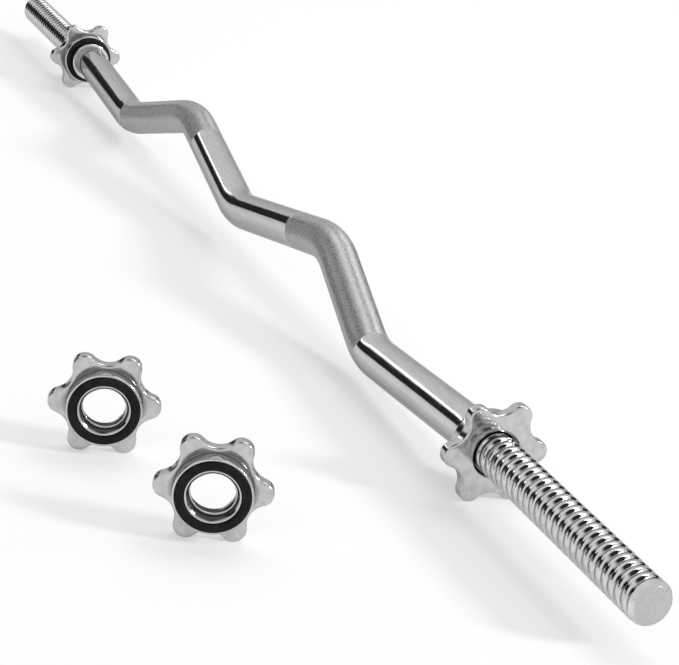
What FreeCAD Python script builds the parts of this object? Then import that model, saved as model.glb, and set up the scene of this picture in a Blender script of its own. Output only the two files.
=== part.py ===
"""A cambered curl bar: a bent steel bar with stop rings, two star collars on it and two standing loose.

Millimetres. The origin is the bar's middle, on the axis that its two threaded ends share. X runs along that
axis, with the right end at +X, and +Z is up while the bar rests on the lobes of its collars.
"""
import FreeCAD, Part
import math
import os

Vector = FreeCAD.Vector
FULL_TURN_DEGREES = 360.0

# Bar: runs along X from the middle outwards, and the height of each bend above the axis of the threaded ends
BAR_DIAMETER = 25.0
INNER_GRIP_RUN = 147.0
OUTER_GRIP_RUN = 109.0
SHAFT_RUN = 138.0
CRANK_RUN = 16.0
THREAD_RUN = 187.0
MIDDLE_RISE = -2.0
APEX_RISE = 26.0
VALLEY_RISE = -9.0
GRIP_BEND_RADIUS = 80.0
CRANK_BEND_RADIUS = 100.0
CAMBER_LEAN_DEGREES = 22.0

# Threaded end, as the cylinder over the thread's crests, and its lower crests where the thread runs out
THREAD_DIAMETER = 24.0
RUN_OUT_DEPTH = 0.25
TIP_CHAMFER = 2.0

# Stop ring, pressed on the bar inside each collar
STOP_DIAMETER = 31.0
STOP_LENGTH = 7.0
STOP_EDGE = 0.8

# Star collar: sizes along its axis start at the boss, which carries the rubber ring
STAR_DIAMETER = 60.0
LOBE_COUNT = 6
LOBE_RADIUS = 6.5
LOBE_HEIGHT = 7.7
FLANGE_THICKNESS = 7.5
FLANGE_EDGE = 1.0
BOSS_DIAMETER = 40.4
BOSS_HEIGHT = 8.0
BOSS_EDGE = 0.6
FRONT_MOUTH = 1.0
BACK_MOUTH = 1.5

# Rubber ring, let into the boss
RING_DIAMETER = 37.4
RING_BORE = 28.8
RING_HEIGHT = 5.0
RING_PROUD = 1.0
RING_EDGE = 0.8

# Clearances, and the overrun of cuts
THREAD_CLEARANCE = 0.3
BAR_CLEARANCE = 0.3
RING_CLEARANCE = 0.3
STOP_GAP = 0.3
RUN_OUT_MARGIN = 0.5
OVERRUN = 5.0

# Loose collars: how far along the bar and in front of it each one stands, and its turn to the front
FIRST_LOOSE_ALONG = 336.0
FIRST_LOOSE_OUT = 189.0
FIRST_LOOSE_TURN_DEGREES = 17.0
SECOND_LOOSE_ALONG = 447.0
SECOND_LOOSE_OUT = 164.0
SECOND_LOOSE_TURN_DEGREES = 20.0

# Worked out from the sizes above
APEX_REACH = INNER_GRIP_RUN
VALLEY_REACH = APEX_REACH + OUTER_GRIP_RUN
CRANK_REACH = VALLEY_REACH + SHAFT_RUN
SHOULDER_REACH = CRANK_REACH + CRANK_RUN
TIP_REACH = SHOULDER_REACH + THREAD_RUN
WAIST_DIAMETER = STAR_DIAMETER - 2 * LOBE_HEIGHT
COLLAR_LENGTH = BOSS_HEIGHT + FLANGE_THICKNESS
THREAD_HOLE_RADIUS = THREAD_DIAMETER / 2 + THREAD_CLEARANCE
SEAT_DEPTH = THREAD_HOLE_RADIUS + FRONT_MOUTH - BAR_DIAMETER / 2 - BAR_CLEARANCE
COLLAR_REACH = SHOULDER_REACH - SEAT_DEPTH
STOP_REACH = COLLAR_REACH - RING_PROUD - STOP_GAP - STOP_LENGTH
GROOVE_DEPTH = RING_HEIGHT - RING_PROUD


def along(point, direction, distance):
    """The point that lies a distance from another."""
    return point + direction * distance


def rounded_path(corners, radii):
    """A wire of straight runs, with a tangent arc of the given radius at each inner corner."""
    edges = []
    start = corners[0]
    for before, corner, after, radius in zip(corners, corners[1:], corners[2:], radii):
        arriving = (corner - before).normalize()
        leaving = (after - corner).normalize()
        half_turn = arriving.getAngle(leaving) / 2
        inwards = (leaving - arriving).normalize()
        tangent = radius * math.tan(half_turn)
        arc_start = along(corner, arriving, -tangent)
        arc_end = along(corner, leaving, tangent)
        arc_middle = along(corner, inwards, radius / math.cos(half_turn) - radius)
        edges.append(Part.LineSegment(start, arc_start).toShape())
        edges.append(Part.Arc(arc_start, arc_middle, arc_end).toShape())
        start = arc_end
    edges.append(Part.LineSegment(start, corners[-1]).toShape())
    return Part.Wire(edges)


def turned(outline):
    """A solid of revolution about Z from the corners (radius, height) of its half section."""
    corners = [Vector(radius, 0, height) for radius, height in outline]
    face = Part.Face(Part.makePolygon(corners + corners[:1]))
    return face.revolve(Vector(0, 0, 0), Vector(0, 0, 1), FULL_TURN_DEGREES)


def camber_point(reach, rise):
    """A point of the bar's centreline, in the leaning plane of its bends."""
    lean = math.radians(CAMBER_LEAN_DEGREES)
    return Vector(reach, rise * math.sin(lean), rise * math.cos(lean))


def threaded_end(outwards):
    """The plain cylinders over one end's thread, with the run-out at the shoulder and the chamfered tip."""
    crest_radius = THREAD_DIAMETER / 2
    shoulder = outwards * SHOULDER_REACH
    run_out_end = COLLAR_REACH + COLLAR_LENGTH + RUN_OUT_MARGIN
    run_out = Part.makeCylinder(
        crest_radius - RUN_OUT_DEPTH, run_out_end - SHOULDER_REACH, shoulder, outwards)
    thread = Part.makeCylinder(
        crest_radius, TIP_REACH - TIP_CHAMFER - run_out_end, outwards * run_out_end, outwards)
    tip_start = outwards * (TIP_REACH - TIP_CHAMFER)
    tip = Part.makeCone(crest_radius, crest_radius - TIP_CHAMFER, TIP_CHAMFER, tip_start, outwards)
    return run_out.fuse([thread, tip])


def bar():
    """The steel bar: a round rod bent at the grips, cranked inside each collar and stepped at its ends."""
    right_side = [
        camber_point(APEX_REACH, APEX_RISE),
        camber_point(VALLEY_REACH, VALLEY_RISE),
        camber_point(CRANK_REACH, 0),
        camber_point(SHOULDER_REACH, 0),
    ]
    right_radii = [GRIP_BEND_RADIUS, GRIP_BEND_RADIUS, CRANK_BEND_RADIUS]
    left_side = [Vector(-point.x, point.y, point.z) for point in reversed(right_side)]
    corners = left_side + [camber_point(0, MIDDLE_RISE)] + right_side
    radii = right_radii[::-1] + [GRIP_BEND_RADIUS] + right_radii
    path = rounded_path(corners, radii)
    section = Part.Wire(Part.makeCircle(BAR_DIAMETER / 2, corners[0], corners[1] - corners[0]))
    rod = path.makePipeShell([section], True, False)
    ends = [threaded_end(Vector(side, 0, 0)) for side in (-1, 1)]
    return rod.fuse(ends).removeSplitter()


def stop_ring():
    """The steel ring that keeps plates and collar off the grips."""
    inside = BAR_DIAMETER / 2
    outside = STOP_DIAMETER / 2
    return turned([
        (inside, 0),
        (outside - STOP_EDGE, 0),
        (outside, STOP_EDGE),
        (outside, STOP_LENGTH),
        (inside, STOP_LENGTH),
    ])


def star_outline():
    """The flange's outline: round lobes joined by hollow waists, tangent to each other."""
    lobe_centre_radius = STAR_DIAMETER / 2 - LOBE_RADIUS
    waist_radius = WAIST_DIAMETER / 2
    half_step = math.pi / LOBE_COUNT
    reach = lobe_centre_radius * math.cos(half_step)
    hollow_radius = (
        (lobe_centre_radius ** 2 + waist_radius ** 2 - 2 * reach * waist_radius - LOBE_RADIUS ** 2)
        / (2 * (LOBE_RADIUS - waist_radius + reach)))

    def polar(radius, angle):
        return Vector(radius * math.cos(angle), radius * math.sin(angle), 0)

    def meeting_point(lobe_angle, hollow_angle):
        lobe_centre = polar(lobe_centre_radius, lobe_angle)
        hollow_centre = polar(waist_radius + hollow_radius, hollow_angle)
        return along(lobe_centre, (hollow_centre - lobe_centre).normalize(), LOBE_RADIUS)

    edges = []
    for lobe in range(LOBE_COUNT):
        lobe_angle = (2 * lobe + 1) * half_step
        before = meeting_point(lobe_angle, lobe_angle - half_step)
        after = meeting_point(lobe_angle, lobe_angle + half_step)
        next_lobe = meeting_point(lobe_angle + 2 * half_step, lobe_angle + half_step)
        edges.append(Part.Arc(before, polar(STAR_DIAMETER / 2, lobe_angle), after).toShape())
        edges.append(Part.Arc(after, polar(waist_radius, lobe_angle + half_step), next_lobe).toShape())
    return Part.Wire(edges)


def star_flange():
    """The lobed flange behind the boss, with its rims broken front and back."""
    flange = Part.Face(star_outline()).extrude(Vector(0, 0, FLANGE_THICKNESS))
    rims = [edge for edge in flange.Edges if isinstance(edge.Curve, Part.Circle)]
    return flange.makeChamfer(FLANGE_EDGE, rims).translated(Vector(0, 0, BOSS_HEIGHT))


def star_casting():
    """The collar's casting: boss and lobed flange, bored for the thread and grooved for the ring."""
    boss_radius = BOSS_DIAMETER / 2
    boss = turned([
        (0, 0),
        (boss_radius - BOSS_EDGE, 0),
        (boss_radius, BOSS_EDGE),
        (boss_radius, BOSS_HEIGHT),
        (0, BOSS_HEIGHT),
    ])
    front_mouth_radius = THREAD_HOLE_RADIUS + FRONT_MOUTH
    back_mouth_radius = THREAD_HOLE_RADIUS + BACK_MOUTH
    bore = turned([
        (0, -OVERRUN),
        (front_mouth_radius, -OVERRUN),
        (front_mouth_radius, 0),
        (THREAD_HOLE_RADIUS, FRONT_MOUTH),
        (THREAD_HOLE_RADIUS, COLLAR_LENGTH - BACK_MOUTH),
        (back_mouth_radius, COLLAR_LENGTH),
        (back_mouth_radius, COLLAR_LENGTH + OVERRUN),
        (0, COLLAR_LENGTH + OVERRUN),
    ])
    groove_inside = RING_BORE / 2 - RING_CLEARANCE
    groove_outside = RING_DIAMETER / 2 + RING_CLEARANCE
    groove = turned([
        (groove_inside, -OVERRUN),
        (groove_outside, -OVERRUN),
        (groove_outside, GROOVE_DEPTH),
        (groove_inside, GROOVE_DEPTH),
    ])
    return boss.fuse(star_flange()).removeSplitter().cut([bore, groove])


def rubber_ring():
    """The rubber ring that grips the plates, seated on the floor of the casting's groove."""
    inside = RING_BORE / 2
    outside = RING_DIAMETER / 2
    return turned([
        (inside, GROOVE_DEPTH),
        (outside, GROOVE_DEPTH),
        (outside, RING_EDGE - RING_PROUD),
        (outside - RING_EDGE, -RING_PROUD),
        (inside, -RING_PROUD),
    ])


def collar_place(boss_centre, back_direction):
    """Where a collar goes: its back to a level direction, standing on two lobes."""
    up = Vector(0, 0, 1)
    axes = FreeCAD.Rotation(up, back_direction.cross(up), back_direction, "ZXY")
    return FreeCAD.Placement(boss_centre, axes).toMatrix()


def place_on_bar(outwards, reach):
    """The place of a ring or a collar on one end of the bar."""
    return collar_place(outwards * reach, outwards)


def loose_place(distance_along, distance_out, turn_degrees):
    """The place of a loose collar that stands in front of the bar, with its ring to the front."""
    turn = math.radians(turn_degrees)
    back_direction = Vector(-math.cos(turn), math.sin(turn), 0)
    flange_middle = Vector(distance_along, -distance_out, 0)
    boss_centre = along(flange_middle, back_direction, -BOSS_HEIGHT - FLANGE_THICKNESS / 2)
    return collar_place(boss_centre, back_direction)


def main():
    ends = {"left": Vector(-1, 0, 0), "right": Vector(1, 0, 0)}
    collars = {
        "left_collar": place_on_bar(ends["left"], COLLAR_REACH),
        "right_collar": place_on_bar(ends["right"], COLLAR_REACH),
        "loose_collar_1": loose_place(FIRST_LOOSE_ALONG, FIRST_LOOSE_OUT, FIRST_LOOSE_TURN_DEGREES),
        "loose_collar_2": loose_place(SECOND_LOOSE_ALONG, SECOND_LOOSE_OUT, SECOND_LOOSE_TURN_DEGREES),
    }
    casting = star_casting()
    ring = rubber_ring()
    parts = {"bar": bar()}
    for side, outwards in ends.items():
        parts[side + "_stop_ring"] = stop_ring().transformShape(place_on_bar(outwards, STOP_REACH))
    for name, place in collars.items():
        parts[name + "_star"] = casting.copy().transformShape(place)
        parts[name + "_ring"] = ring.copy().transformShape(place)
    os.makedirs("parts", exist_ok=True)
    for name, shape in parts.items():
        shape.exportStep("parts/" + name + ".step")


main()
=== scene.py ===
"""The looks of the curl bar, built round its CAD frame: chromed bar, stop rings, star collars, rubber rings.

Shapes are worked out in millimetres and made in metres, in the frame's own axes.
"""
import cmath
import math

import bmesh
import bpy
from mathutils import Matrix, Vector


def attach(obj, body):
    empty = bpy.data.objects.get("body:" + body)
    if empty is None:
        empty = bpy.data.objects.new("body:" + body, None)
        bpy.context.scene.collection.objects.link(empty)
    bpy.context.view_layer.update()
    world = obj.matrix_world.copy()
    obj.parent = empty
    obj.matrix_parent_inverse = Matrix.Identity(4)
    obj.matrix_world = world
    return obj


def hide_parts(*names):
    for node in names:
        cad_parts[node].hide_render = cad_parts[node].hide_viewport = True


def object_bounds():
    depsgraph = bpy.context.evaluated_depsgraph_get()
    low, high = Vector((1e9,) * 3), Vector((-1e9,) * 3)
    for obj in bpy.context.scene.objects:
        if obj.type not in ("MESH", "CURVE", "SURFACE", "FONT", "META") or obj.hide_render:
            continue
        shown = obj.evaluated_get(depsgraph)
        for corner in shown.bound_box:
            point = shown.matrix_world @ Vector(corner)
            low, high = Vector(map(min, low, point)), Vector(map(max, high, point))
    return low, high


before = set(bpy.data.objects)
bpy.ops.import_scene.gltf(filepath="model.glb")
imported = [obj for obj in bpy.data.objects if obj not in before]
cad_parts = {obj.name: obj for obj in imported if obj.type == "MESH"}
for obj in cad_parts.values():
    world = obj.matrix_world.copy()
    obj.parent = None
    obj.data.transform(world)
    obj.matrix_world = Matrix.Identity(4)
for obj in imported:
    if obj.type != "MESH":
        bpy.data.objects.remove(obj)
cad_low, cad_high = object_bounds()

MM = 0.001
TURN = 2 * math.pi
UP = Vector((0, 0, 1))
SIDES = {"left": Vector((-1, 0, 0)), "right": Vector((1, 0, 0))}
ROUND_STEPS = 4
SHARP_DEGREES = 50
SLACK = 0.01

# Bar: the corners of its centreline, from its middle and from its ends' axis, in a plane that leans back
SHOULDER_REACH = 410
CRANK_REACH = 394
LOW_REACH = 256
LOW_DROP = 9
PEAK_REACH = 147
PEAK_RISE = 26
MIDDLE_DROP = 2
GRIP_BEND = 80
CRANK_BEND = 100
LEAN = math.radians(22)
BAR_RADIUS = 12.5
SHOULDER_ROUND = 0.4
SMOOTH_STEP = 2.5
LENGTH_SLACK = 1e-6
RIGHT_CORNERS = [(PEAK_REACH, PEAK_RISE), (LOW_REACH, -LOW_DROP), (CRANK_REACH, 0), (SHOULDER_REACH, 0)]
LEFT_CORNERS = [(-along, above) for along, above in reversed(RIGHT_CORNERS)]
CORNERS = LEFT_CORNERS + [(0, -MIDDLE_DROP)] + RIGHT_CORNERS
BEND_RADII = [CRANK_BEND if abs(along) == CRANK_REACH else GRIP_BEND for along, _ in CORNERS[1:-1]]

# Knurling: where it starts and ends along the bar, its diamonds round the bar and its depth
KNURL_FROM = 100
KNURL_TO = 258
KNURL_DIAMONDS = 52
KNURL_DEPTH = 0.16
KNURL_FADE = 2.0

# Thread: rounded ridges, run out at the shoulder
PITCH = 6.6
THREAD_CREST = 12.0
THREAD_ROOT = 10.95
CREST_HALF = 0.7
ROOT_HALF = 3.1
# The thread's grooves get painted shade, which has faded out by this radius.
GROOVE_SHADE_RADIUS = 11.1
THREAD_ROWS = 24
THREAD_COLUMNS = 96
THREAD_SHARP_DEGREES = 40
THREAD_FROM = 408.0
LEAD_TURNS = 2
RUN_OUT_FROM = 410.6
RUN_OUT_TO = 413.2
RUN_OUT_RADIUS = 11.7
CUT_SLACK = 1e-5
WELD_DISTANCE = 1e-4
LOOP_SLACK = 1e-3

# Tip: the thread's chamfer, its eased edge and the rings of the turned face
TIP_REACH = 597.0
TIP_ROUND = 0.2
TIP_CHAMFER = 2.0
TIP_STEPS = 10
TIP_EASE = 0.07
TIP_FLAT_INSET = 0.25
TIP_RIM_INSET = 1.0
TIP_LOOP = TIP_REACH - TIP_ROUND
TIP_CHAMFER_FROM = TIP_LOOP - TIP_CHAMFER
TIP_EDGE_RADIUS = THREAD_CREST - TIP_CHAMFER
TIP_FACE_RADIUS = TIP_EDGE_RADIUS - TIP_ROUND
TIP_RINGS = [
    (TIP_EDGE_RADIUS - TIP_EASE, TIP_REACH - TIP_EASE),
    (TIP_EDGE_RADIUS - TIP_FLAT_INSET, TIP_REACH),
    (TIP_EDGE_RADIUS - TIP_RIM_INSET, TIP_REACH),
]

# Stop ring, pressed on the bar inside each collar
STOP_REACH = 401.2
STOP_LENGTH = 7.0
STOP_RADIUS = 15.5
STOP_ROUND = 0.8

# Star collar, along its own axis from the boss face
COLLAR_REACH = 409.5
STAR_RADIUS = 30.0
LOBES = 6
LOBE_RADIUS = 6.5
WAIST_RADIUS = 22.3
BOSS_RADIUS = 20.2
BOSS_FOOT = 20.7
BOSS_HEIGHT = 8.0
FLANGE_THICKNESS = 7.5
COLLAR_LENGTH = BOSS_HEIGHT + FLANGE_THICKNESS
RIM_ROUND = 1.4
BOSS_ROUND = 0.6
ROOT_ROUND = 0.4
EDGE_ROUND = 0.2
MOUTH_ROUND = 0.3
BORE_RADIUS = 12.35
FRONT_MOUTH = 1.0
BACK_MOUTH = 1.5
STAR_COLUMNS = 288
FLANGE_STEPS = 3
# Painted shade at the boss's root: its share, and how far up the boss it fades.
ROOT_SHADE = 0.6
ROOT_SHADE_HEIGHT = 1.5

# The collar's own thread: half its width and its radius, from its foot in the bore's wall to its crest
RIB_SECTION = [(1.0, 12.75), (0.45, 11.45), (0.3, 11.3)]
RIB_FROM = 1.8
RIB_TO = 13.2
RIB_COLUMNS = 96
RIB_TAPER_COLUMNS = 12
RIB_END_SHARE = 0.1

# Rubber ring, in the groove of the boss
RING_INNER = 14.4
RING_OUTER = 18.7
RING_PROUD = 1.0
RING_ROUND = 0.7
GROOVE_DEPTH = 4.0
GROOVE_GAP = 0.3
RING_COLUMNS = 192

# Loose collars: how far along the bar, how far in front of it, and the turn of the face in degrees
LOOSE = {1: (336, 189, 17), 2: (447, 164, 20)}

# Finishes: the grey of metal at its edges, where most of a noise's values lie, and how detailed a noise is
EDGE_GREY = 0.5
NOISE_SPAN = (0.35, 0.65)
SOFT_DETAIL = 2.0
GRAIN_ROUGHNESS = 0.7
GRAIN_HEIGHT = 0.0001
DUST_DETAIL = 4.0
DUST_SPAN = (0.45, 0.8)
MIX_COLOUR_INPUTS = (6, 7)
MIX_COLOUR_OUTPUT = 2

# Studio: metres, and heights of a direction from 0 at the horizon to 1 overhead
FLOOR_SIZE = 30.0
FLOOR_GREY = 0.9
FLOOR_WHITE_SHARE = 0.4
SURROUND_GREY = 0.88
CEILING_GREY = 0.03
CEILING_SPAN = (0.84, 0.95)
FLAG_GREY = 0.03

# Camera, fitted to the photograph: metres and degrees, lens in millimetres, shifts as shares of the width
CAMERA_PLACE = Vector((1.379526, -0.507896, 0.444786))
CAMERA_AZIMUTH = -23.271
CAMERA_ELEVATION = 19.963
CAMERA_ROLL = 6.807
SENSOR_WIDTH = 36.0
LENS = 117.313
SHIFT_X = 0.00045
SHIFT_Y = 0.01084


def linked_object(name, data):
    """A new object in the scene."""
    thing = bpy.data.objects.new(name, data)
    bpy.context.scene.collection.objects.link(thing)
    return thing


def mesh_object(name, bm, matrix):
    """A new mesh object from a bmesh, moved to its place."""
    bmesh.ops.transform(bm, matrix=matrix, verts=bm.verts)
    mesh = bpy.data.meshes.new(name)
    bm.to_mesh(mesh)
    bm.free()
    return linked_object(name, mesh)


def made(name, bm, place, materials, body, node):
    """A piece from a bmesh in millimetres, riding on a body, in place of a CAD node if one is named."""
    bmesh.ops.recalc_face_normals(bm, faces=bm.faces)
    piece = mesh_object(name, bm, Matrix.Scale(MM, 4) @ place)
    for material in materials:
        piece.data.materials.append(material)
    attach(piece, body)
    if node:
        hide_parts(node)
    return piece


def smooth_below(bm, degrees):
    """Smooth shading, but sharp where two faces meet at more than an angle."""
    limit = math.radians(degrees)
    for face in bm.faces:
        face.smooth = True
    for edge in bm.edges:
        edge.smooth = len(edge.link_faces) != 2 or edge.calc_face_angle() < limit


def polar(radius, angle, height):
    return Vector((radius * math.cos(angle), radius * math.sin(angle), height))


def distance_from_axis(vert):
    return math.hypot(vert.co.x, vert.co.y)


def smooth_share(low, high, value):
    """0 below low, 1 above high, and a smooth step between."""
    t = min(max((value - low) / (high - low), 0), 1)
    return t * t * (3 - 2 * t)


def bridge(bm, first, second):
    """Faces between two closed rings of points."""
    for k in range(len(first)):
        n = (k + 1) % len(first)
        bm.faces.new((first[k], first[n], second[n], second[k]))


def bar_runs():
    """The centreline as straight runs and arcs: (length, start, direction, curvature)."""
    points = [complex(*corner) for corner in CORNERS]
    runs = []
    start = points[0]
    for before, corner, after, radius in zip(points, points[1:], points[2:], BEND_RADII):
        arriving = (corner - before) / abs(corner - before)
        leaving = (after - corner) / abs(after - corner)
        turn = cmath.phase(leaving / arriving)
        tangent = radius * math.tan(abs(turn) / 2)
        arc_start = corner - arriving * tangent
        runs.append((abs(arc_start - start), start, arriving, 0.0))
        runs.append((radius * abs(turn), arc_start, arriving, math.copysign(1 / radius, turn)))
        start = corner + leaving * tangent
    last = points[-1] - start
    runs.append((abs(last), start, last / abs(last), 0.0))
    return runs


RUNS = bar_runs()
BAR_LENGTH = sum(run[0] for run in RUNS)


def on_centreline(distance):
    """The point and the direction of the centreline at a distance along it."""
    for length, start, direction, curvature in RUNS[:-1]:
        if distance <= length:
            break
        distance -= length
    else:
        length, start, direction, curvature = RUNS[-1]
    if not curvature:
        return start + direction * distance, direction
    swing = cmath.exp(1j * curvature * distance)
    return start + direction * (swing - 1) / (1j * curvature), direction * swing


def distance_at(along):
    """How far along the centreline a place along the bar is."""
    low, high = 0.0, BAR_LENGTH
    while high - low > LENGTH_SLACK:
        middle = (low + high) / 2
        if on_centreline(middle)[0].real < along:
            low = middle
        else:
            high = middle
    return low


def rod_rows():
    """The rod's cross sections: how far along each is, whether it is knurled, and how deep."""
    knurl_edges = [distance_at(along) for along in (-KNURL_TO, -KNURL_FROM, KNURL_FROM, KNURL_TO)]
    edges = [0.0] + knurl_edges + [BAR_LENGTH]
    rows = []
    for zone, (start, end) in enumerate(zip(edges, edges[1:])):
        is_knurl = zone % 2 == 1
        step = math.pi * BAR_RADIUS / KNURL_DIAMONDS if is_knurl else SMOOTH_STEP
        count = 2 * round((end - start) / step / 2)
        for j in range(count):
            distance = start + (end - start) * j / count
            from_edge = min(distance - start, end - distance)
            depth = KNURL_DEPTH * smooth_share(0, KNURL_FADE, from_edge) if is_knurl else 0.0
            rows.append((distance, is_knurl, depth))
    rows.append((BAR_LENGTH, False, 0.0))
    return rows


def rod_ring(bm, distance, radii):
    """A ring of points round the centreline, in its leaning plane."""
    centre, direction = on_centreline(distance)
    ring = []
    for k, radius in enumerate(radii):
        angle = TURN * k / len(radii)
        flat = centre + direction * 1j * radius * math.cos(angle)
        side = radius * math.sin(angle)
        ring.append(bm.verts.new((
            flat.real,
            flat.imag * math.sin(LEAN) - side * math.cos(LEAN),
            flat.imag * math.cos(LEAN) + side * math.sin(LEAN))))
    return ring


def bar_rod(chrome, knurled):
    """The bent rod between the threads, with its diamond knurling cut into the two grips and painted shade
    in the knurl's valleys.
    """
    columns = 2 * KNURL_DIAMONDS
    rows = rod_rows()
    bm = bmesh.new()
    # The knurl's valleys are marked for painted shade, darkest where the cut is deepest.
    painted_recess_shade = bm.verts.layers.float.new("painted_recess_shade")
    rings = []
    for j, (distance, _, depth) in enumerate(rows):
        cuts = [depth * ((j + k) % 2) for k in range(columns)]
        if j in (0, len(rows) - 1):
            cuts = [SHOULDER_ROUND] * columns
        ring = rod_ring(bm, distance, [BAR_RADIUS - cut for cut in cuts])
        for vert, cut in zip(ring, cuts):
            vert[painted_recess_shade] = min(cut / KNURL_DEPTH, 1)
        rings.append(ring)
    for j, (_, is_knurl, _) in enumerate(rows[:-1]):
        if not is_knurl:
            bridge(bm, rings[j], rings[j + 1])
            continue
        for k in range(columns):
            n = (k + 1) % columns
            corners = [rings[j][k], rings[j][n], rings[j + 1][n], rings[j + 1][k]]
            shift = 1 if (j + k) % 2 == 0 else 0
            a, b, c, d = corners[shift:] + corners[:shift]
            bm.faces.new((a, b, c))
            bm.faces.new((a, c, d))
    for face in bm.faces:
        is_knurl = len(face.verts) == 3
        face.smooth = not is_knurl
        face.material_index = int(is_knurl)
    bm.faces.new(rings[0])
    bm.faces.new(rings[-1])
    return made("bar_rod", bm, Matrix(), [chrome, knurled], "bar", "bar")


def thread_radius(offset):
    """The thread's radius at a distance along the axis from the middle of its crest."""
    return THREAD_CREST - (THREAD_CREST - THREAD_ROOT) * smooth_share(CREST_HALF, ROOT_HALF, abs(offset))


def thread_strip(bm):
    """The ridge and groove of the thread as one helical strip, from inside the collar to past the tip."""
    first_crest = COLLAR_REACH - LEAD_TURNS * PITCH
    steps = math.ceil((TIP_REACH + PITCH - first_crest) / PITCH) * THREAD_COLUMNS
    offsets = [PITCH * (i / THREAD_ROWS - 0.5) for i in range(THREAD_ROWS)]
    strip = []
    for q in range(steps + 1):
        angle = TURN * q / THREAD_COLUMNS
        along = first_crest + PITCH * q / THREAD_COLUMNS
        strip.append([
            bm.verts.new(polar(thread_radius(offset), angle, along + offset))
            for offset in offsets])
    for q in range(steps):
        for i in range(THREAD_ROWS - 1):
            bm.faces.new((strip[q][i], strip[q][i + 1], strip[q + 1][i + 1], strip[q + 1][i]))
        later = q + THREAD_COLUMNS
        if later < steps:
            bm.faces.new((strip[q][-1], strip[later][0], strip[later + 1][0], strip[q + 1][-1]))


def bar_thread(name, place, chrome, turned):
    """One threaded end: the helical strip cut square, run out at the shoulder and chamfered at the tip, with
    painted shade in its grooves.
    """
    bm = bmesh.new()
    thread_strip(bm)

    def slice_at(height, **clear):
        everything = bm.verts[:] + bm.edges[:] + bm.faces[:]
        bmesh.ops.bisect_plane(
            bm, geom=everything, dist=CUT_SLACK, plane_co=(0, 0, height), plane_no=UP, **clear)

    slice_at(THREAD_FROM, clear_inner=True)
    slice_at(TIP_LOOP, clear_outer=True)
    for n in range(TIP_STEPS):
        slice_at(TIP_CHAMFER_FROM + (TIP_LOOP - TIP_CHAMFER_FROM) * n / TIP_STEPS)
    for vert in bm.verts:
        radius = distance_from_axis(vert)
        cut = smooth_share(RUN_OUT_FROM, RUN_OUT_TO, vert.co.z)
        new_radius = min(
            RUN_OUT_RADIUS + (radius - RUN_OUT_RADIUS) * cut,
            THREAD_CREST - max(vert.co.z - TIP_CHAMFER_FROM, 0))
        vert.co.x *= new_radius / radius
        vert.co.y *= new_radius / radius
    bmesh.ops.remove_doubles(bm, verts=bm.verts, dist=WELD_DISTANCE)
    for end, rings in ((THREAD_FROM, []), (TIP_LOOP, TIP_RINGS)):
        loop = [vert for vert in bm.verts if abs(vert.co.z - end) < LOOP_SLACK and vert.is_boundary]
        loop.sort(key=lambda vert: math.atan2(vert.co.y, vert.co.x))
        angles = [math.atan2(vert.co.y, vert.co.x) for vert in loop]
        for radius, height in rings:
            inner = [bm.verts.new(polar(radius, angle, height)) for angle in angles]
            bridge(bm, loop, inner)
            loop = inner
        bm.faces.new(loop)
    # Painted shade in the thread's grooves, fading out towards the ridges.
    painted_recess_shade = bm.verts.layers.float.new("painted_recess_shade")
    for vert in bm.verts:
        in_thread = RUN_OUT_FROM < vert.co.z < TIP_CHAMFER_FROM
        out_of_groove = smooth_share(THREAD_ROOT, GROOVE_SHADE_RADIUS, distance_from_axis(vert))
        vert[painted_recess_shade] = in_thread * (1 - out_of_groove)
    smooth_below(bm, THREAD_SHARP_DEGREES)
    for face in bm.faces:
        face.material_index = int(all(
            vert.co.z > TIP_LOOP and distance_from_axis(vert) < TIP_FACE_RADIUS
            for vert in face.verts))
    return made(name, bm, place, [chrome, turned], "bar", None)


def star_points():
    """Points of the star's outline and the outward normals there."""
    lobe_centre = STAR_RADIUS - LOBE_RADIUS
    half_step = math.pi / LOBES
    reach = lobe_centre * math.cos(half_step)
    hollow = ((lobe_centre ** 2 + WAIST_RADIUS ** 2 - 2 * reach * WAIST_RADIUS - LOBE_RADIUS ** 2)
              / (2 * (LOBE_RADIUS - WAIST_RADIUS + reach)))
    hollow_centre = WAIST_RADIUS + hollow
    lobe_at = polar(lobe_centre, 0, 0)
    meeting = lobe_at + (polar(hollow_centre, half_step, 0) - lobe_at).normalized() * LOBE_RADIUS
    meeting_angle = math.atan2(meeting.y, meeting.x)
    points, normals = [], []
    for k in range(STAR_COLUMNS):
        angle = TURN * k / STAR_COLUMNS
        lobe_angle = (2 * math.floor(angle / (2 * half_step)) + 1) * half_step
        off_lobe = angle - lobe_angle
        if abs(off_lobe) <= meeting_angle:
            radius = lobe_centre * math.cos(off_lobe) + math.sqrt(
                LOBE_RADIUS ** 2 - (lobe_centre * math.sin(off_lobe)) ** 2)
            point = polar(radius, angle, 0)
            normal = point - polar(lobe_centre, lobe_angle, 0)
        else:
            hollow_angle = lobe_angle + math.copysign(half_step, off_lobe)
            off_hollow = angle - hollow_angle
            radius = hollow_centre * math.cos(off_hollow) - math.sqrt(
                hollow ** 2 - (hollow_centre * math.sin(off_hollow)) ** 2)
            point = polar(radius, angle, 0)
            normal = polar(hollow_centre, hollow_angle, 0) - point
        points.append(point)
        normals.append(normal.normalized())
    return points, normals


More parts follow.
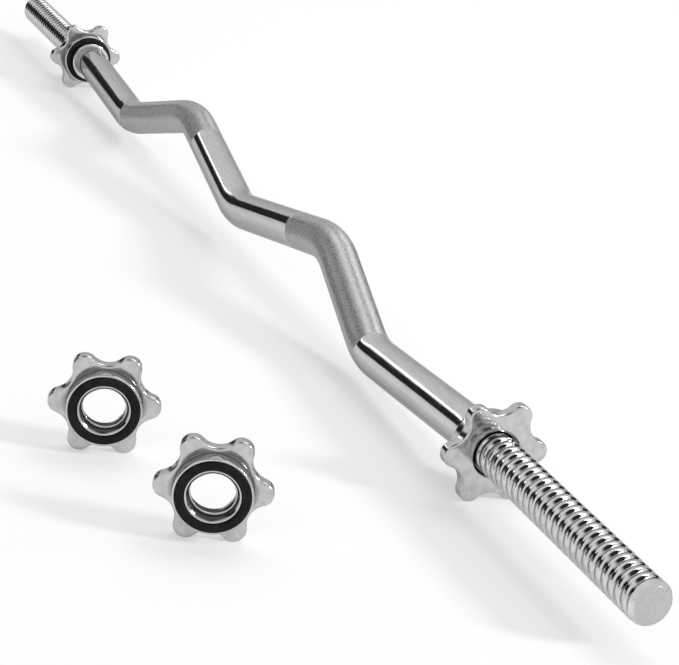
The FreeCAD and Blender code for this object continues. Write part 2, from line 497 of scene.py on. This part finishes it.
def rounded(corners):
    """A profile through corners (radius, height, rounding), with an arc at each one that has a rounding."""
    outline = [complex(*corners[0][:2])]
    for before, here, after in zip(corners, corners[1:], corners[2:]):
        corner = complex(*here[:2])
        rounding = here[2]
        if not rounding:
            outline.append(corner)
            continue
        arriving = complex(*before[:2]) - corner
        leaving = complex(*after[:2]) - corner
        arriving /= abs(arriving)
        leaving /= abs(leaving)
        half_angle = abs(cmath.phase(leaving / arriving)) / 2
        centre = corner + (arriving + leaving) / abs(arriving + leaving) * rounding / math.sin(half_angle)
        start = corner + arriving * rounding / math.tan(half_angle) - centre
        end = corner + leaving * rounding / math.tan(half_angle) - centre
        sweep = cmath.phase(end / start)
        for n in range(ROUND_STEPS + 1):
            outline.append(centre + start * cmath.exp(1j * sweep * n / ROUND_STEPS))
    outline.append(complex(*corners[-1][:2]))
    return [(point.real, point.imag) for point in outline]


def circle_rows(profile, columns):
    """Rows of points round an axis, one for each point (radius, height) of a profile."""
    return [
        [polar(radius, TURN * k / columns, height) for k in range(columns)]
        for radius, height in profile]


def closed_grid(bm, rows):
    """A closed surface through rows of points that lie round an axis, the last joined to the first."""
    grid = [[bm.verts.new(point) for point in row] for row in rows]
    for j, row in enumerate(grid):
        bridge(bm, row, grid[(j + 1) % len(grid)])


def thread_rib(bm):
    """The collar's own thread, a helical rib whose foot is let into the bore's wall."""
    section = [(-half, radius) for half, radius in RIB_SECTION] + RIB_SECTION[::-1]
    foot = RIB_SECTION[0][1]
    from_step = math.ceil((RIB_FROM - PITCH / 2) / PITCH * RIB_COLUMNS)
    to_step = math.floor((RIB_TO - PITCH / 2) / PITCH * RIB_COLUMNS)
    strip = []
    for q in range(from_step, to_step + 1):
        angle = TURN * q / RIB_COLUMNS
        along = PITCH / 2 + PITCH * q / RIB_COLUMNS
        from_end = min(q - from_step, to_step - q)
        share = max(min(from_end / RIB_TAPER_COLUMNS, 1), RIB_END_SHARE)
        strip.append([
            bm.verts.new(polar(foot - (foot - radius) * share, angle, along + offset))
            for offset, radius in section])
    for before, after in zip(strip, strip[1:]):
        bridge(bm, before, after)
    bm.faces.new(strip[0])
    bm.faces.new(reversed(strip[-1]))


def collar_rows():
    """The casting's rows of points: bore, grooved face, boss, lobed flange with rolled rims, flat back."""
    points, normals = star_points()
    groove_inner = RING_INNER - GROOVE_GAP
    groove_outer = RING_OUTER + GROOVE_GAP
    front = rounded([
        (BORE_RADIUS, COLLAR_LENGTH / 2, 0),
        (BORE_RADIUS, FRONT_MOUTH, MOUTH_ROUND),
        (BORE_RADIUS + FRONT_MOUTH, 0, EDGE_ROUND),
        (groove_inner, 0, EDGE_ROUND),
        (groove_inner, GROOVE_DEPTH, 0),
        (groove_outer, GROOVE_DEPTH, 0),
        (groove_outer, 0, EDGE_ROUND),
        (BOSS_RADIUS, 0, BOSS_ROUND),
        # This row ends the painted shade's fade up the boss.
        (BOSS_RADIUS, BOSS_HEIGHT - ROOT_SHADE_HEIGHT, 0),
        (BOSS_RADIUS, BOSS_HEIGHT, ROOT_ROUND),
        (BOSS_FOOT, BOSS_HEIGHT, 0),
    ])
    back = rounded([
        (BOSS_FOOT, COLLAR_LENGTH, 0),
        (BORE_RADIUS + BACK_MOUTH, COLLAR_LENGTH, MOUTH_ROUND),
        (BORE_RADIUS, COLLAR_LENGTH - BACK_MOUTH, MOUTH_ROUND),
        (BORE_RADIUS, COLLAR_LENGTH / 2 + BACK_MOUTH, 0),
    ])

    def star(inset, height):
        return [point - normal * inset + UP * height for point, normal in zip(points, normals)]

    def across(first, second):
        return [
            [a.lerp(b, n / FLANGE_STEPS) for a, b in zip(first, second)]
            for n in range(1, FLANGE_STEPS)]

    rim = []
    for n in range(ROUND_STEPS + 1):
        angle = TURN / 4 * n / ROUND_STEPS
        rim.append((RIM_ROUND * (1 - math.sin(angle)), RIM_ROUND * (1 - math.cos(angle))))
    front_rows = circle_rows(front, STAR_COLUMNS)
    back_rows = circle_rows(back, STAR_COLUMNS)
    front_rim = [star(inset, BOSS_HEIGHT + drop) for inset, drop in rim]
    back_rim = [star(inset, COLLAR_LENGTH - drop) for inset, drop in reversed(rim)]
    return (front_rows + across(front_rows[-1], front_rim[0]) + front_rim
            + back_rim + across(back_rim[-1], back_rows[0]) + back_rows)


def collar_casting(name, place, chrome, body, node):
    """The star casting with its threaded bore, with painted shade in the bore and groove and at the boss's
    root.
    """
    bm = bmesh.new()
    closed_grid(bm, collar_rows())
    # Painted shade: full in the bore and the ring's groove, partial at the boss's root.
    painted_recess_shade = bm.verts.layers.float.new("painted_recess_shade")
    for vert in bm.verts:
        radius = distance_from_axis(vert)
        in_bore = radius < BORE_RADIUS + MOUTH_ROUND
        in_groove = RING_INNER < radius < RING_OUTER and 0 < vert.co.z < BOSS_HEIGHT
        at_root = radius < BOSS_FOOT + SLACK and abs(vert.co.z - BOSS_HEIGHT) < ROOT_ROUND + SLACK
        vert[painted_recess_shade] = 1.0 if in_bore or in_groove else ROOT_SHADE * at_root
    thread_rib(bm)
    smooth_below(bm, SHARP_DEGREES)
    piece = made(name, bm, place, [chrome], body, node)
    weighted = piece.modifiers.new("weighted_normals", "WEIGHTED_NORMAL")
    weighted.keep_sharp = True
    return piece


def turned_ring(name, section, place, material, body, node):
    """A ring with a section (radius, height, rounding) round its axis."""
    bm = bmesh.new()
    closed_grid(bm, circle_rows(rounded(section), RING_COLUMNS))
    smooth_below(bm, SHARP_DEGREES)
    return made(name, bm, place, [material], body, node)


def collar_ring(name, place, rubber, body, node):
    """The moulded rubber ring, proud of the boss."""
    section = [
        (RING_INNER, GROOVE_DEPTH, 0),
        (RING_INNER, -RING_PROUD, RING_ROUND),
        (RING_OUTER, -RING_PROUD, RING_ROUND),
        (RING_OUTER, GROOVE_DEPTH, 0),
    ]
    return turned_ring(name, section, place, rubber, body, node)


def stop_ring(name, place, chrome, node):
    """The turned ring on the bar that stops the plates."""
    section = [
        (BAR_RADIUS, STOP_LENGTH / 2, 0),
        (BAR_RADIUS, 0, EDGE_ROUND),
        (STOP_RADIUS, 0, STOP_ROUND),
        (STOP_RADIUS, STOP_LENGTH, EDGE_ROUND),
        (BAR_RADIUS, STOP_LENGTH, EDGE_ROUND),
        (BAR_RADIUS, STOP_LENGTH / 2 + STOP_ROUND, 0),
    ]
    return turned_ring(name, section, place, chrome, "bar", node)


def place_along(start, direction):
    """Where a piece goes whose own axis runs from a point in a level direction, a collar on two lobes."""
    side = direction.cross(UP)
    axes = Matrix((UP, side, direction)).transposed().to_4x4()
    return Matrix.Translation(start) @ axes


def nodes_of(name):
    """A new node material: its tree, its shader and its object coordinates."""
    material = bpy.data.materials.new(name)
    material.use_nodes = True
    tree = material.node_tree
    shader = tree.nodes["Principled BSDF"]
    coordinates = tree.nodes.new("ShaderNodeTexCoord").outputs["Object"]
    return material, tree, shader, coordinates


def grey_colour(grey):
    return grey, grey, grey, 1


def stretched(tree, coordinates, scale):
    mapping = tree.nodes.new("ShaderNodeMapping")
    mapping.inputs["Scale"].default_value = scale
    tree.links.new(coordinates, mapping.inputs["Vector"])
    return mapping.outputs["Vector"]


def noise(tree, coordinates, scale=1.0, detail=3.0, roughness=0.5):
    node = tree.nodes.new("ShaderNodeTexNoise")
    node.inputs["Scale"].default_value = scale
    node.inputs["Detail"].default_value = detail
    node.inputs["Roughness"].default_value = roughness
    tree.links.new(coordinates, node.inputs["Vector"])
    return node.outputs["Fac"]


def spread(tree, value, to=(0.0, 1.0), source=NOISE_SPAN):
    """A value taken from one span to another, and held within it."""
    node = tree.nodes.new("ShaderNodeMapRange")
    tree.links.new(value, node.inputs["Value"])
    node.inputs["From Min"].default_value, node.inputs["From Max"].default_value = source
    node.inputs["To Min"].default_value, node.inputs["To Max"].default_value = to
    return node.outputs["Result"]


def mixed(tree, share, first, second):
    """A colour between two, each a grey or a socket."""
    node = tree.nodes.new("ShaderNodeMix")
    node.data_type = "RGBA"
    tree.links.new(share, node.inputs["Factor"])
    for number, colour in zip(MIX_COLOUR_INPUTS, (first, second)):
        if isinstance(colour, float):
            node.inputs[number].default_value = grey_colour(colour)
        else:
            tree.links.new(colour, node.inputs[number])
    return node.outputs[MIX_COLOUR_OUTPUT]


def bumped(tree, shader, height, strength, distance):
    node = tree.nodes.new("ShaderNodeBump")
    node.inputs["Strength"].default_value = strength
    node.inputs["Distance"].default_value = distance
    tree.links.new(height, node.inputs["Height"])
    tree.links.new(node.outputs["Normal"], shader.inputs["Normal"])


def attribute(tree, name):
    node = tree.nodes.new("ShaderNodeAttribute")
    node.attribute_name = name
    return node.outputs["Fac"]


def metal_finish(tree, shader, marks, greys, roughness, painted_shade_grey):
    """Metal whose tone and gloss follow its marks, darker at its edges, with painted shade in its recesses
    when a shade grey is given.
    """
    shader.inputs["Metallic"].default_value = 1.0
    shader.inputs["Specular Tint"].default_value = grey_colour(EDGE_GREY)
    colour = mixed(tree, spread(tree, marks), *greys)
    if painted_shade_grey is not None:
        # Painted shade: the marked recesses are darkened towards the shade grey.
        colour = mixed(tree, attribute(tree, "painted_recess_shade"), colour, painted_shade_grey)
    tree.links.new(colour, shader.inputs["Base Color"])
    tree.links.new(spread(tree, marks, roughness), shader.inputs["Roughness"])


def chrome_material(name, greys, roughness, streaks, waves, wave_strength, wave_height, painted_shade_grey=None):
    """Bright plating: polishing streaks in tone and gloss, and a slight wave. Marks are counts per metre."""
    material, tree, shader, coordinates = nodes_of(name)
    marks = noise(tree, stretched(tree, coordinates, streaks))
    metal_finish(tree, shader, marks, greys, roughness, painted_shade_grey)
    wave = noise(tree, coordinates, waves, SOFT_DETAIL)
    bumped(tree, shader, wave, wave_strength, wave_height)
    return material


def satin_material(name, greys, roughness, grains, grain_strength, painted_shade_grey=None):
    """Dull metal with a fine grain in tone and in relief."""
    material, tree, shader, coordinates = nodes_of(name)
    grain = noise(tree, coordinates, grains, roughness=GRAIN_ROUGHNESS)
    metal_finish(tree, shader, grain, greys, roughness, painted_shade_grey)
    bumped(tree, shader, grain, grain_strength, GRAIN_HEIGHT)
    return material


def rubber_material(name, greys, roughness, gloss, patches, grains, grain_strength, grain_height):
    """Black moulded rubber with a fine grain and a few dusty patches."""
    material, tree, shader, coordinates = nodes_of(name)
    shader.inputs["Specular IOR Level"].default_value = gloss
    dust = spread(tree, noise(tree, coordinates, patches, DUST_DETAIL), source=DUST_SPAN)
    tree.links.new(mixed(tree, dust, *greys), shader.inputs["Base Color"])
    grain = noise(tree, coordinates, grains, SOFT_DETAIL)
    tree.links.new(spread(tree, grain, roughness), shader.inputs["Roughness"])
    bumped(tree, shader, grain, grain_strength, grain_height)
    return material


BAR_CHROME = chrome_material(
    "bright_chrome", greys=(0.58, 0.66), roughness=(0.07, 0.13), streaks=(40.0, 900.0, 900.0),
    waves=160.0, wave_strength=0.05, wave_height=0.0004)
# The thread's grooves get painted shade in a darker grey.
THREAD_CHROME = chrome_material(
    "thread_chrome", greys=(0.58, 0.68), roughness=(0.03, 0.08), streaks=(220.0, 220.0, 220.0),
    waves=420.0, wave_strength=0.10, wave_height=0.0002, painted_shade_grey=0.36)
# The collar's bore, groove and boss root get painted shade in a near-black grey.
COLLAR_CHROME = chrome_material(
    "cast_chrome", greys=(0.49, 0.59), roughness=(0.10, 0.18), streaks=(220.0, 220.0, 220.0),
    waves=260.0, wave_strength=0.12, wave_height=0.0004, painted_shade_grey=0.08)
# The knurl's valleys get painted shade in a darker grey.
KNURLED = satin_material(
    "knurled_chrome", greys=(0.62, 0.92), roughness=(0.24, 0.38), grains=600.0, grain_strength=0.25,
    painted_shade_grey=0.36)
TURNED_END = satin_material(
    "turned_end", greys=(0.44, 0.58), roughness=(0.40, 0.52), grains=1500.0, grain_strength=0.3)
RUBBER = rubber_material(
    "black_rubber", greys=(0.004, 0.016), roughness=(0.42, 0.62), gloss=0.15, patches=130.0,
    grains=2400.0, grain_strength=0.35, grain_height=0.00012)

bar_rod(BAR_CHROME, KNURLED)
for side, outwards in SIDES.items():
    bar_thread("bar_thread_" + side, place_along(Vector(), outwards), THREAD_CHROME, TURNED_END)
    stop_place = place_along(outwards * STOP_REACH, outwards)
    stop_ring(side + "_stop", stop_place, BAR_CHROME, side + "_stop_ring")
    place = place_along(outwards * COLLAR_REACH, outwards)
    star_node, ring_node = side + "_collar_star", side + "_collar_ring"
    collar_casting(side + "_casting", place, COLLAR_CHROME, star_node, star_node)
    collar_ring(side + "_rubber", place, RUBBER, ring_node, ring_node)
for number, (along, out, degrees) in LOOSE.items():
    backwards = Vector((-math.cos(math.radians(degrees)), math.sin(math.radians(degrees)), 0))
    flange_middle = Vector((along, -out, 0))
    boss_face = flange_middle - backwards * (BOSS_HEIGHT + FLANGE_THICKNESS / 2)
    place = place_along(boss_face, backwards)
    body = f"loose_collar_{number}"
    collar_casting(f"loose_casting_{number}", place, COLLAR_CHROME, body, body + "_star")
    collar_ring(f"loose_rubber_{number}", place, RUBBER, body, body + "_ring")


def direction_to(azimuth, elevation):
    """The unit direction at an azimuth and an elevation in degrees."""
    elevation = math.radians(elevation)
    return polar(math.cos(elevation), math.radians(azimuth), math.sin(elevation))


def card(name, grey, centre, size, facing):
    """A flat, dull studio card."""
    bm = bmesh.new()
    bmesh.ops.create_grid(bm, x_segments=1, y_segments=1, size=0.5)
    turn = facing.to_track_quat("Z", "Y").to_matrix().to_4x4()
    stretch = Matrix.Diagonal((size[0], size[1], 1, 1))
    piece = mesh_object(name, bm, Matrix.Translation(centre) @ turn @ stretch)
    material, tree, shader, _ = nodes_of(name)
    shader.inputs["Base Color"].default_value = grey_colour(grey)
    shader.inputs["Roughness"].default_value = 1.0
    shader.inputs["Specular IOR Level"].default_value = 0.0
    piece.data.materials.append(material)
    return piece, tree, shader


def background_rays(tree):
    """1 for the rays that see the background: straight from the camera, mirrored or let through."""
    path = tree.nodes.new("ShaderNodeLightPath")
    seen = path.outputs["Is Camera Ray"]
    for kind in ("Is Glossy Ray", "Is Transmission Ray"):
        either = tree.nodes.new("ShaderNodeMath")
        either.operation = "MAXIMUM"
        tree.links.new(seen, either.inputs[0])
        tree.links.new(path.outputs[kind], either.inputs[1])
        seen = either.outputs["Value"]
    return seen


def white_floor():
    """A pale floor that keeps the shadows and shows white in between."""
    _, tree, shader = card("floor", FLOOR_GREY, Vector((0, 0, cad_low.z)), (FLOOR_SIZE, FLOOR_SIZE), UP)
    white = tree.nodes.new("ShaderNodeEmission")
    share = tree.nodes.new("ShaderNodeMath")
    share.operation = "MULTIPLY"
    share.inputs[1].default_value = FLOOR_WHITE_SHARE
    tree.links.new(background_rays(tree), share.inputs[0])
    blend = tree.nodes.new("ShaderNodeMixShader")
    tree.links.new(share.outputs["Value"], blend.inputs["Fac"])
    tree.links.new(shader.outputs["BSDF"], blend.inputs[1])
    tree.links.new(white.outputs["Emission"], blend.inputs[2])
    tree.links.new(blend.outputs["Shader"], tree.nodes["Material Output"].inputs["Surface"])


def dark_flag(name, azimuth, elevation, distance, size):
    """A black card that the metal mirrors and the camera doesn't see."""
    centre = direction_to(azimuth, elevation) * distance
    piece, _, _ = card(name, FLAG_GREY, centre, size, -centre)
    piece.visible_camera = False


def lamp(name, azimuth, elevation, distance, size, power):
    """A soft rectangular lamp aimed at the bar's middle."""
    data = bpy.data.lights.new(name, "AREA")
    data.shape = "RECTANGLE"
    data.size, data.size_y = size
    data.energy = power
    thing = linked_object(name, data)
    thing.location = direction_to(azimuth, elevation) * distance
    thing.rotation_euler = (-thing.location).to_track_quat("-Z", "Y").to_euler()


def studio_world():
    """A pale surround under a dark ceiling."""
    world = bpy.data.worlds.new("studio")
    bpy.context.scene.world = world
    world.use_nodes = True
    tree = world.node_tree
    split = tree.nodes.new("ShaderNodeSeparateXYZ")
    tree.links.new(tree.nodes.new("ShaderNodeTexCoord").outputs["Generated"], split.inputs["Vector"])
    ceiling = spread(tree, split.outputs["Z"], source=CEILING_SPAN)
    grey = mixed(tree, ceiling, SURROUND_GREY, CEILING_GREY)
    tree.links.new(grey, tree.nodes["Background"].inputs["Color"])


def photo_camera():
    """The camera at the photograph's viewing angle."""
    data = bpy.data.cameras.new("camera")
    data.sensor_width = SENSOR_WIDTH
    data.lens = LENS
    data.shift_x = SHIFT_X
    data.shift_y = SHIFT_Y
    back = direction_to(CAMERA_AZIMUTH, CAMERA_ELEVATION)
    level = UP.cross(back).normalized()
    right = Matrix.Rotation(math.radians(CAMERA_ROLL), 3, back) @ level
    axes = Matrix((right, back.cross(right), back)).transposed().to_4x4()
    camera = linked_object("camera", data)
    camera.matrix_world = Matrix.Translation(CAMERA_PLACE) @ axes
    bpy.context.scene.camera = camera


white_floor()
dark_flag("side_flag", azimuth=-155, elevation=12.5, distance=6.0, size=(3.3, 1.79))
dark_flag("front_flag", azimuth=-113, elevation=22.0, distance=6.0, size=(6.0, 3.9))
dark_flag("far_flag", azimuth=187, elevation=5.0, distance=6.0, size=(2.77, 1.26))
dark_flag("back_flag", azimuth=106, elevation=27.0, distance=6.0, size=(2.3, 2.6))
lamp("strip", azimuth=-158, elevation=24.5, distance=6.0, size=(1.9, 0.32), power=4.2)
lamp("key", azimuth=50, elevation=27, distance=8.0, size=(1.3, 1.3), power=380.0)
lamp("overhead", azimuth=110, elevation=66, distance=2.5, size=(1.8, 1.0), power=17.0)
studio_world()
photo_camera()
bpy.context.scene.view_settings.view_transform = "Standard"
